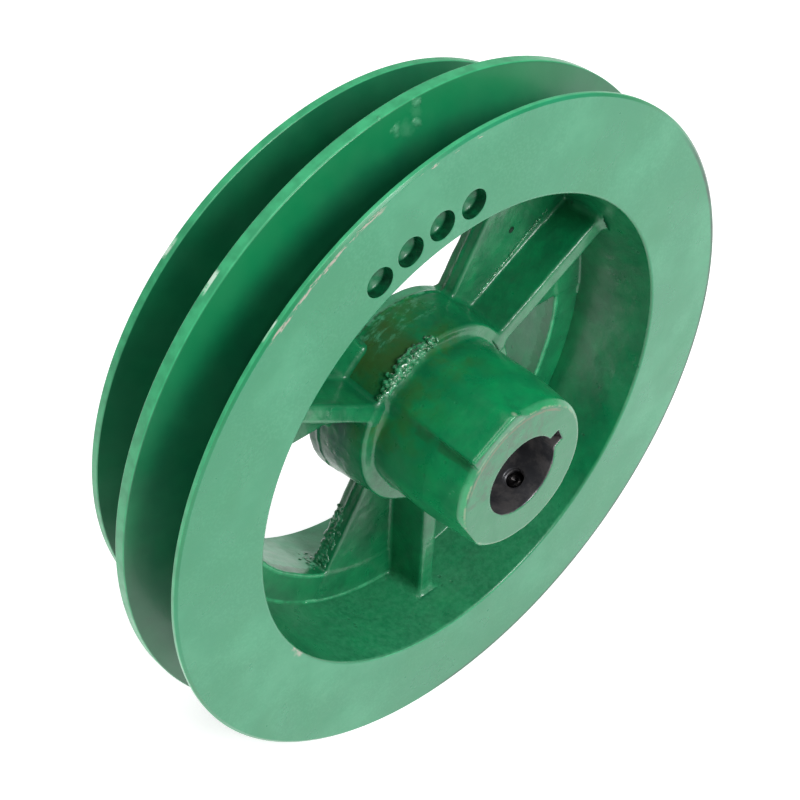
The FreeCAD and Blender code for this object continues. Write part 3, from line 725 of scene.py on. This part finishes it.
def hub_paint_material():
    """Hub: smooth bright enamel on the barrel, mottled towards the ledge, worn at the face."""
    s, behind = cast_shader("hub_paint")
    fresh = s.over(GREEN, BRIGHT_GREEN, s.ramp(s.noise(8, 4, 0.6), 0.35, 0.7))
    s.lay(fresh, s.ramp(s.y, LEDGE_Y - 2, LEDGE_Y - 9))
    s.lay(OLIVE, s.sector(85, 165, 14), s.ramp(s.y, 9, LEDGE_Y - 4),
          s.ramp(s.noise(7.5, 5, 0.66), 0.36, 0.66), 0.6)
    # boss: stained on top, streaked and paler grey-green behind the parting line above, with a painted dark
    # streaked reflection on the left
    s.lay(STAIN, s.band(s.y, LEDGE_Y + 2, 48, 3), s.ramp(s.noise(11, 4, 0.6), 0.34, 0.56),
          s.sector(108, 146, 9), 0.75)
    s.lay(GREY_GREEN, s.ramp(s.noise(1.0, 4, 0.7, s.stretched(5.0, 2.2, 5.0)), 0.50, 0.68),
          s.band(s.y, 44, 50, 3), s.sector(78, 118, 10), 0.5)
    s.lay(GREY_GREEN, behind, s.ramp(s.noise(6, 4, 0.65), 0.25, 0.6, 0.5, 1.0), s.sector(60, 125, 12), 0.7)
    # painted reflection: dark grey-teal streaks on the left of the boss
    s.lay(REFLECTION_TEAL, s.ramp(s.y, LEDGE_Y + 4, LEDGE_Y + 9), s.ramp(s.math("ABSOLUTE", s.angle), 150, 165),
          s.ramp(s.noise(1.0, 3, 0.6, s.around(0.10, 0.5, 0.25)), 0.35, 0.65, 0.35, 0.85))
    face = s.ramp(s.y, 0.16, 0.06)
    s.lay(HUB_FACE_GREEN, face, 0.8)
    s.lay(RUBBED, face, s.sector(70, 190, 25), s.ramp(s.noise(4.2, 5, 0.68), 0.38, 0.66), 0.8)
    # worn brown line near the rim of the turned face, chips on its edge
    worn = s.times(face, s.band(s.r, FACE_R - 1.3, FACE_R - 0.8, 0.3), s.sector(55, 160, 8),
                   s.ramp(s.noise(1.0, 3, 0.6, s.around(0.16, 1.2, 0.4)), 0.38, 0.55))
    s.lay(BARE_BROWN, worn, 0.6)
    brow = s.times(s.ramp(s.gap(s.r, FACE_R + 0.1), 0.5, 0.1), s.ramp(s.y, 0.5, 0.2),
                   s.ramp(s.noise(2.4, 4, 0.6), 0.42, 0.58))
    # painted highlight on the chamfer between the face and the barrel
    s.lay(PALE_GREEN, s.band(s.r, FACE_R + 0.2, BARREL_FRONT_R + 0.4, 0.3), s.ramp(s.y, 2.0, 1.3),
          s.ramp(s.noise(3.1, 3, 0.6), 0.3, 0.65, 0.3, 1.0), 0.25)
    tip = s.spot(*PAD_TIP)
    s.lay(BARE_EDGE, brow, 0.6)
    s.lay(BARE_TIP, tip, 0.75)
    # painted shade along the ridge on the plain pad's left flank
    s.lay(RIDGE_SHADE, s.sector(141.5, 147, 2.0), s.band(s.y, 3, 22, 3), s.ramp(s.noise(4, 3), 0.35, 0.6),
          0.5)
    scratches = s.times(s.ramp(s.noise(1.0, 2, 0.5, s.stretched(0.55, 3.4, 2.2)), 0.69, 0.73),
                        s.band(s.y, 4, 26, 2), s.ramp(s.noise(12, 1), 0.42, 0.58), s.ramp(s.angle, 150, 165))
    s.lay(PALE_GREEN, scratches, 0.6)
    pits = cast_grain(s, 0.5)
    s.lay(DEEP_GREEN, pits, 0.3)
    roughness = s.math("ADD", s.ramp(s.noise(6, 4, 0.6), 0.3, 0.7, 0.26, 0.40),
                       s.times(s.most(worn, brow, tip), 0.25))
    s.dent(scratches, 0.05)
    return s.finish(roughness, coat=0.25, coat_roughness=0.13, specular=0.4)


def lumpy_paint_material(name, dull, bright, glint, glints, rough, coat, coat_roughness):
    """Enamel over rough lumps of metal, with painted glints. Glints are given as size, start, end and share.
    """
    s = Shader(name, dull)
    size, start, end, share = glints
    s.lay(bright, s.ramp(s.noise(1.7, 3, 0.6), 0.4, 0.65))
    s.lay(glint, s.ramp(s.noise(size, 3, 0.6), start, end, 0, share))
    s.bump(s.noise(0.5, 3, 0.6), 0.06)
    return s.finish(s.ramp(s.noise(1.1, 2), 0.3, 0.7, *rough), coat=coat, coat_roughness=coat_roughness)


def bore_material():
    """Oiled bare iron with rust-brown stains."""
    dark_iron, light_iron, rust = (0.085, 0.088, 0.098), (0.20, 0.19, 0.19), (0.085, 0.050, 0.042)
    s = Shader("bore_iron", dark_iron)
    s.lay(light_iron, s.ramp(s.noise(6, 5, 0.65), 0.4, 0.68))
    s.lay(rust, s.ramp(s.noise(3.1, 4, 0.6), 0.60, 0.74, 0, 0.4))
    s.bump(s.noise(1.0, 2, 0.6, s.around(0.03, 0.4, 1.9)), 0.02)
    s.bump(s.noise(1.4, 3, 0.6), 0.03)
    roughness = s.ramp(s.noise(4, 4, 0.6), 0.3, 0.7, 0.32, 0.5)
    return s.finish(roughness, coat=0.2, coat_roughness=0.2, metallic=0.7)


def screw_material():
    """Black oxide steel, rubbed bright in places."""
    black, brown, bright = (0.018, 0.018, 0.020), (0.055, 0.050, 0.048), (0.20, 0.19, 0.18)
    s = Shader("screw_oxide", black)
    s.lay(brown, s.ramp(s.noise(1.3, 4, 0.6), 0.4, 0.68))
    s.lay(bright, s.ramp(s.noise(0.8, 3, 0.6), 0.62, 0.7, 0, 0.6))
    s.bump(s.noise(0.35, 3, 0.6), 0.02)
    return s.finish(s.ramp(s.noise(0.9, 3), 0.3, 0.7, 0.28, 0.5), metallic=0.9)


def hole_material():
    """Thick glossy enamel run into the balance holes, with painted shade: dark walls and a lighter floor."""
    wall_deep_shade, wall_shade_green, green_floor = (0.002, 0.040, 0.016), (0.002, 0.085, 0.030), (0.005, 0.17, 0.066)
    s = Shader("hole_paint", wall_deep_shade)
    floor = s.ramp(s.y, FRONT_Y + HOLE_DEPTH - 0.6, FRONT_Y + HOLE_DEPTH + 0.3)
    s.lay(wall_shade_green, s.ramp(s.noise(2.6, 4, 0.6), 0.4, 0.65))
    s.lay(green_floor, floor, s.ramp(s.noise(3.0, 3, 0.6), 0.35, 0.6, 0.6, 1.0))
    s.bump(s.noise(1.9, 2, 0.5), 0.10)
    return s.finish(s.ramp(s.noise(1.9, 2), 0.3, 0.7, 0.24, 0.42), coat=0.12, specular=0.38)


turned_paint, groove_paint = turned_paint_material(), groove_paint_material()
cast_paint, hub_paint, hole_paint = cast_paint_material(), hub_paint_material(), hole_material()
bore_iron, screw_oxide = bore_material(), screw_material()
bead_paint = lumpy_paint_material(
    "bead_paint", (0.006, 0.13, 0.042), (0.05, 0.30, 0.14), (0.50, 0.58, 0.46), (0.9, 0.60, 0.66, 0.8),
    rough=(0.10, 0.26), coat=1.0, coat_roughness=0.05)
crumb_paint = lumpy_paint_material(
    "crumb_paint", (0.004, 0.110, 0.040), (0.02, 0.22, 0.10), (0.30, 0.50, 0.36), (1.1, 0.56, 0.64, 0.6),
    rough=(0.2, 0.4), coat=0.5, coat_roughness=0.1)

# ---------------------------------------------------------------- rim
FRONT_WALL_START, FRONT_WALL_END = front_wall_r(FLOOR_START), front_wall_r(FLOOR_END)
REAR_WALL_END = rear_wall_r(REAR_FLOOR_END)
# corners of each ring's outline: radius, depth, rounding, spacing of the run that follows
RINGS = {
    "front_flange": (turned_paint, [
        (FRONT_MOUTH_R, FRONT_Y, 1.0, 3), (FRONT_R - 0.85, FRONT_Y, 0.3, 2), (FRONT_R, FRONT_Y + 0.6, 0.3, 2),
        (FRONT_R, FRONT_Y + FRONT_LAND, 0.25, 2),
        (FRONT_FLOOR_R, FLOOR_START, 0, 3), (FRONT_WALL_START, FLOOR_START, 0, 1.5)]),
    "front_groove_floor": (groove_paint, [
        (FRONT_WALL_START, FLOOR_START, 0, 3), (FRONT_FLOOR_R, FLOOR_START, 0, 2),
        (FRONT_FLOOR_R, FLOOR_END, 0, 3), (FRONT_WALL_END, FLOOR_END, 0, 1.5)]),
    "middle_flange": (groove_paint, [
        (FRONT_WALL_END, FLOOR_END, 0, 3), (FRONT_FLOOR_R, FLOOR_END, 0, 2), (FRONT_R, MIDDLE_START, 0.6, 1),
        (FRONT_R, MIDDLE_START + MIDDLE_LAND, 0.45, 3), (REAR_FLOOR_R, WEB_REAR_Y, 0, 3),
        (INNER_R, WEB_Y, 0, 1.5)]),
    "web_ring": (cast_paint, [
        (WINDOW_R, WEB_Y, 0.7, 1.5), (INNER_R, WEB_Y, 0, 3), (REAR_FLOOR_R, WEB_REAR_Y, 0, 3),
        (WINDOW_R, WEB_REAR_Y, 0, 1.5)]),
    "rear_groove_floor": (groove_paint, [
        (WINDOW_R, WEB_REAR_Y, 0, 3), (REAR_FLOOR_R, WEB_REAR_Y, 0, 2), (REAR_FLOOR_R, REAR_FLOOR_END, 0, 3),
        (REAR_WALL_END, REAR_FLOOR_END, 0, 1.5)]),
    "rear_flange": (groove_paint, [
        (REAR_WALL_END, REAR_FLOOR_END, 0, 3), (REAR_FLOOR_R, REAR_FLOOR_END, 0, 2),
        (REAR_R, REAR_Y - REAR_LAND, 0.45, 1), (REAR_R, REAR_Y, 0.45, 3), (REAR_MOUTH_R, REAR_Y, 0.6, 1.5)])}
rings = {name: ring_piece(name, corners, material) for name, (material, corners) in RINGS.items()}
front_flange = rings["front_flange"]


def drill(x, z):
    """Cutter for one balance hole: a shank with a drill point and a broken edge at its mouth."""
    outline = [(HOLE_R + 0.9, -0.6), (HOLE_R + 0.32, 0.0), (HOLE_R + 0.09, 0.10), (HOLE_R, 0.34)]
    outline += [(HOLE_R, HOLE_DEPTH - 0.45), (HOLE_R - 0.13, HOLE_DEPTH - 0.1),
                (HOLE_R - 0.5, HOLE_DEPTH + 0.2)]
    outline += [(r, HOLE_DEPTH + HOLE_TIP * (1 - r / HOLE_R)) for r in (3.0, 2.2, 1.5, 0.9)]
    outline += [(0.4, HOLE_DEPTH + 2.0)]
    sides = 48
    turn = np.arange(sides) * 2 * math.pi / sides
    points = [(x + r * math.cos(a), FRONT_Y + d, z + r * math.sin(a)) for r, d in outline for a in turn]
    points += [(x, FRONT_Y + HOLE_DEPTH + HOLE_TIP - 0.3, z)]
    faces = [tuple(range(sides))]
    for ring in range(len(outline) - 1):
        for i in range(sides):
            a, b = ring * sides + i, ring * sides + (i + 1) % sides
            faces.append((b, a, a + sides, b + sides))
    last = (len(outline) - 1) * sides
    faces += [(last + (i + 1) % sides, last + i, len(points) - 1) for i in range(sides)]
    mesh = bpy.data.meshes.new("drill")
    mesh.from_pydata((np.array(points) * MM).tolist(), [], faces)
    cutter = bpy.data.objects.new("drill", mesh)
    bpy.context.scene.collection.objects.link(cutter)
    return cutter


def apply_modifiers(piece):
    depsgraph = bpy.context.evaluated_depsgraph_get()
    mesh = bpy.data.meshes.new_from_object(piece.evaluated_get(depsgraph))
    piece.modifiers.clear()
    old, piece.data = piece.data, mesh
    bpy.data.meshes.remove(old)


HOLE_CENTRES = [turned(HOLE_RING, 0, -degrees) for degrees in HOLE_ANGLES]
drills = [drill(*centre) for centre in HOLE_CENTRES]
for cutter in drills:
    cut = front_flange.modifiers.new("drill", "BOOLEAN")
    cut.object, cut.operation, cut.solver = cutter, "DIFFERENCE", "EXACT"
apply_modifiers(front_flange)
for cutter in drills:
    bpy.data.objects.remove(cutter)
front_flange.data.set_sharp_from_angle(angle=math.radians(40))


def in_hole(x, y, z):
    away = np.min([np.hypot(x - cx, z - cz) for cx, cz in HOLE_CENTRES], axis=0)
    return (away < HOLE_R + 0.15) & (y > FRONT_Y + 0.05)


second_material(front_flange, hole_paint, in_hole)
for piece in rings.values():
    second_material(piece, cast_paint, on_inner_wall)
    steady_normals(piece)

# ---------------------------------------------------------------- hub and spokes
hub = field_piece(
    "hub", hub_field, (-33, -1, -33), (33, HUB_REAR_Y + 1, 33), 0.42, hub_paint,
    ["hub_boss", "hub_barrel", "plain_pad", "screw_pad", "root_fillet"], hub_cast_share)


def in_bore(x, y, z):
    """Bare surfaces: bore, keyway and tapped hole."""
    u, v = turned(x, z, KEY_ANGLE)
    key = (np.abs(v) < KEY_HALF + 0.12) & (u > 0) & (u < KEY_REACH + 0.12)
    u, v = turned(x, z, SCREW_ANGLE)
    hole = (np.hypot(v, y - SCREW_Y) < THREAD_ROOT + 0.1) & (u > 0)
    return ((np.hypot(x, z) < BORE_R + 0.14) | key) & (y > 0.06) & (y < HUB_REAR_Y - 0.06) | hole


second_material(hub, bore_iron, in_bore)
for name, degrees in SPOKES.items():
    def field(x, y, z, name=name):
        return spoke_field(x, y, z, name)
    xs, zs = zip(*[turned(out, across, -degrees) for out in (20, 80) for across in (-48, 48)])
    limit = 79
    field_piece(f"spoke_{name}", field, (max(min(xs), -limit), LEDGE_Y - 1.2, max(min(zs), -limit)),
                (min(max(xs), limit), HUB_REAR_Y + 6, min(max(zs), limit)), 0.5, cast_paint,
                [f"spoke_{name}", f"rib_{name}"])

# ---------------------------------------------------------------- lumps and crumbs of metal on the casting
random = np.random.default_rng(7)


def crumb_piece(name, blobs, step, blend, material, nodes=()):
    """Cluster of small rounded lumps (x, y, z, radius), melted together."""
    blobs = np.array(blobs)

    def field(x, y, z):
        result = np.full(np.shape(x), 9.0)
        for bx, by, bz, size in blobs:
            result = rmin(result, np.sqrt((x - bx) ** 2 + (y - by) ** 2 + (z - bz) ** 2) - size, blend)
        return result

    margin = blobs[:, 3].max() + 3 * step
    low, high = (blobs[:, :3] - margin).min(axis=0), (blobs[:, :3] + margin).max(axis=0)
    field_piece(name, field, low, high, step, material, nodes, skin=0.25)


def on_ring(radius, y, degrees, size):
    c, s = direction(degrees)
    return radius * c, y, radius * s, size


# bead along the ledge corner, thickest near its middle
blobs = []
for _ in range(200):
    at = random.triangular(BEAD_FIRST, BEAD_THICK, BEAD_LAST)
    body = 1 - abs(at - BEAD_THICK) / (BEAD_LAST - BEAD_FIRST)
    body *= random.uniform(0.7, 1.25)
    side = random.uniform(-1, 1)
    if side < 0:
        ring, y = BEAD_RING + 2.2 * side * body, LEDGE_Y + 0.1 - random.uniform(0, 0.6) * body
    else:
        ring, y = BEAD_RING + random.uniform(0, 1.0) * body, LEDGE_Y + 0.2 + 2.8 * side * body
    blobs.append(on_ring(ring, y, at, random.triangular(0.30, 0.45, 1.15)))
crumb_piece("ledge_bead", blobs, 0.25, 0.26, bead_paint, ["ledge_bead"])

# ragged flash at the foot of the right rib
blobs = []
count, first, length = 150, 33, 34
for k in range(count):
    out = first + length * k / (count - 1)
    across = 3.9 + 2.5 * (out - first) / length
    loose = 0.12 + 0.5 * ease(out, 50, 66)
    u, v = out + random.uniform(-0.3, 0.3), across + random.uniform(-1, 1) * loose
    x, z = turned(u, v, -SPOKES["right"])
    blobs.append((x, WEB_Y - 0.05 + random.uniform(-0.15, 0.15), z, random.uniform(0.22, 0.46)))
crumb_piece("rib_flash", blobs, 0.24, 0.12, bead_paint)

# rough metal on the left side of the lower spoke and in its corner with the window wall
blobs = []
for _ in range(210):
    out, y = random.triangular(41, 62, 64), random.triangular(48.6, 53.4, 54.0)
    size = random.triangular(0.35, 0.5, 1.0)
    x, z = turned(*turned(out, SIDE_OFFSET + 0.65 * size, SIDE_ANGLE), -SPOKES["lower"])
    blobs.append((x, y, z, size))
for _ in range(40):
    y, size = random.triangular(50, 54, 61), random.triangular(0.3, 0.4, 0.8)
    blobs.append(on_ring(rear_wall_r(y) + 0.6 * size, y, random.triangular(238, 243, 246), size))
crumb_piece("window_crumbs", blobs, 0.28, 0.4, crumb_paint)

# crumbs along the boss's parting line
blobs = [on_ring(BOSS_R + 1.25, PARTING_Y - 1.2 + random.uniform(-1.1, 1.1), random.uniform(124, 147),
                 random.uniform(0.2, 0.5)) for _ in range(46)]
crumb_piece("boss_crumbs", blobs, 0.22, 0.12, bead_paint)


# ---------------------------------------------------------------- set screw and its thread
def radial_rings(profile, sides, degrees, depth, closed):
    """Points and faces of a tube about a line that runs outward from the bore axis, from (place, radius)."""
    turn = np.arange(sides) * 2 * math.pi / sides
    points = []
    for place, radius in profile:
        radius = radius(turn) if callable(radius) else radius
        x, z = turned(place, radius * np.cos(turn), -degrees)
        points.append(np.stack([x, depth + radius * np.sin(turn), z], axis=1))
    faces = []
    for k in range(len(profile) - 1):
        for i in range(sides):
            a, b = k * sides + i, k * sides + (i + 1) % sides
            faces.append((a + sides, b + sides, b, a))
    if closed:
        faces.append(tuple(range(sides)))
        faces.append(tuple(reversed(range((len(profile) - 1) * sides, len(profile) * sides))))
    return np.concatenate(points), faces


PITCH, SCREW_ROOT, SOCKET, SIDES = 1.0, 2.22, 3.0, 72


def thread(crest, root, place):
    """Radius of a thread at a place along its axis, for each turn angle."""
    def radius(turn):
        phase = (place / PITCH - turn / (2 * math.pi)) % 1
        return root + (crest - root) * np.clip(np.abs(2 * phase - 1) * 1.5 - 0.25, 0, 1)
    return radius


def hexagon(across):
    return lambda turn: across / 2 / np.cos((turn + math.pi / 6) % (math.pi / 3) - math.pi / 6)


# cup point, thread, then the end face with its hexagon socket
tip, end = SCREW_TIP, SCREW_TIP + SCREW_LENGTH
profile = [(tip + 1.1, 0.02), (tip + 0.1, 1.15), (tip, 1.35), (tip, 1.5), (tip + 0.12, 1.62)]
profile += [(tip + 0.6, 2.1)]
profile += [(p, thread(SCREW_R, SCREW_ROOT, p)) for p in np.arange(tip + 0.75, end - 0.45, 0.09)]
profile += [(end - 0.35, 2.2), (end - 0.08, 2.02), (end, 1.92), (end, hexagon(SOCKET + 0.35)),
            (end - 0.2, hexagon(SOCKET)), (end - 2.4, hexagon(SOCKET)), (end - 2.5, hexagon(2.7)),
            (end - 3.0, 0.02)]
points, faces = radial_rings(profile, SIDES, SCREW_ANGLE, SCREW_Y, closed=True)
screw = make_piece("set_screw_threaded", points, faces, screw_oxide, body="screw", nodes=["set_screw"])
screw.data.set_sharp_from_angle(angle=math.radians(38))
steady_normals(screw)

# thread cut in the hub, as a sleeve behind its surface
inner, outer, sleeve = BORE_R + 0.35, PAD_FLAT - 0.45, THREAD_ROOT + 0.5
profile = [(outer, sleeve), (inner, sleeve), (inner, THREAD_ROOT)]
profile += [(p, thread(SCREW_R + 0.05, THREAD_ROOT, p)) for p in np.arange(inner + 0.1, outer - 0.05, 0.12)]
profile += [(outer, THREAD_ROOT), (outer, sleeve)]
points, faces = radial_rings(profile, SIDES, SCREW_ANGLE, SCREW_Y, closed=False)
tapped = make_piece("tapped_thread", points, faces, bore_iron)
tapped.data.set_sharp_from_angle(angle=math.radians(38))

# ---------------------------------------------------------------- stage
room = bpy.context.scene
floor_z = cad_box[0].z
floor_mesh = bpy.data.meshes.new("floor")
floor_half = 6
corners = [(x * floor_half, y * floor_half, floor_z) for x, y in ((-1, -1), (1, -1), (1, 1), (-1, 1))]
floor_mesh.from_pydata(corners, [], [(0, 1, 2, 3)])
floor = bpy.data.objects.new("floor", floor_mesh)
room.collection.objects.link(floor)
card = Shader("floor_card", (0.90, 0.90, 0.90))
card.lay((0.87, 0.87, 0.87), card.noise(60, 2))
card.bump(card.noise(1.5, 2), 0.02)
floor_mesh.materials.append(card.finish(0.85, specular=0.2, emission=0.54))

world = bpy.data.worlds.new("studio")
room.world = world
world.use_nodes = True
sky = world.node_tree.nodes["Background"]
sky.inputs["Color"].default_value = (1, 1, 1, 1)
sky.inputs["Strength"].default_value = 0.38


def soft_box(name, place, target, size, power):
    data = bpy.data.lights.new(name, "AREA")
    data.shape, data.size, data.size_y, data.energy = "RECTANGLE", *size, power
    lamp = bpy.data.objects.new(name, data)
    lamp.location = place
    lamp.rotation_mode = "QUATERNION"
    lamp.rotation_quaternion = (Vector(target) - Vector(place)).to_track_quat("-Z", "Y")
    room.collection.objects.link(lamp)


soft_box("key", (0.10, -1.15, 0.95), (0, 0.03, 0), (0.55, 0.55), 18)
soft_box("top", (-0.35, 0.05, 1.35), (0, 0.03, 0), (0.9, 0.9), 9)


def camera_at(location, forward, right, lens):
    data = bpy.data.cameras.new("camera")
    camera = bpy.data.objects.new("camera", data)
    room.collection.objects.link(camera)
    forward = Vector(forward).normalized()
    right = (Vector(right) - forward * forward.dot(Vector(right))).normalized()
    up = right.cross(forward)
    camera.matrix_world = Matrix((
        (right.x, up.x, -forward.x, location[0]), (right.y, up.y, -forward.y, location[1]),
        (right.z, up.z, -forward.z, location[2]), (0, 0, 0, 1)))
    data.sensor_width, data.lens = 36, lens
    data.clip_start, data.clip_end = 0.02, 20
    room.camera = camera


# fitted to the photograph: place, view direction, image right, focal length
camera_at((-0.26854, -0.22061, 0.33042), (0.52909, 0.53217, -0.66095), (0.72989, -0.68268, 0.03461), 77.73)
room.view_settings.view_transform = "Standard"
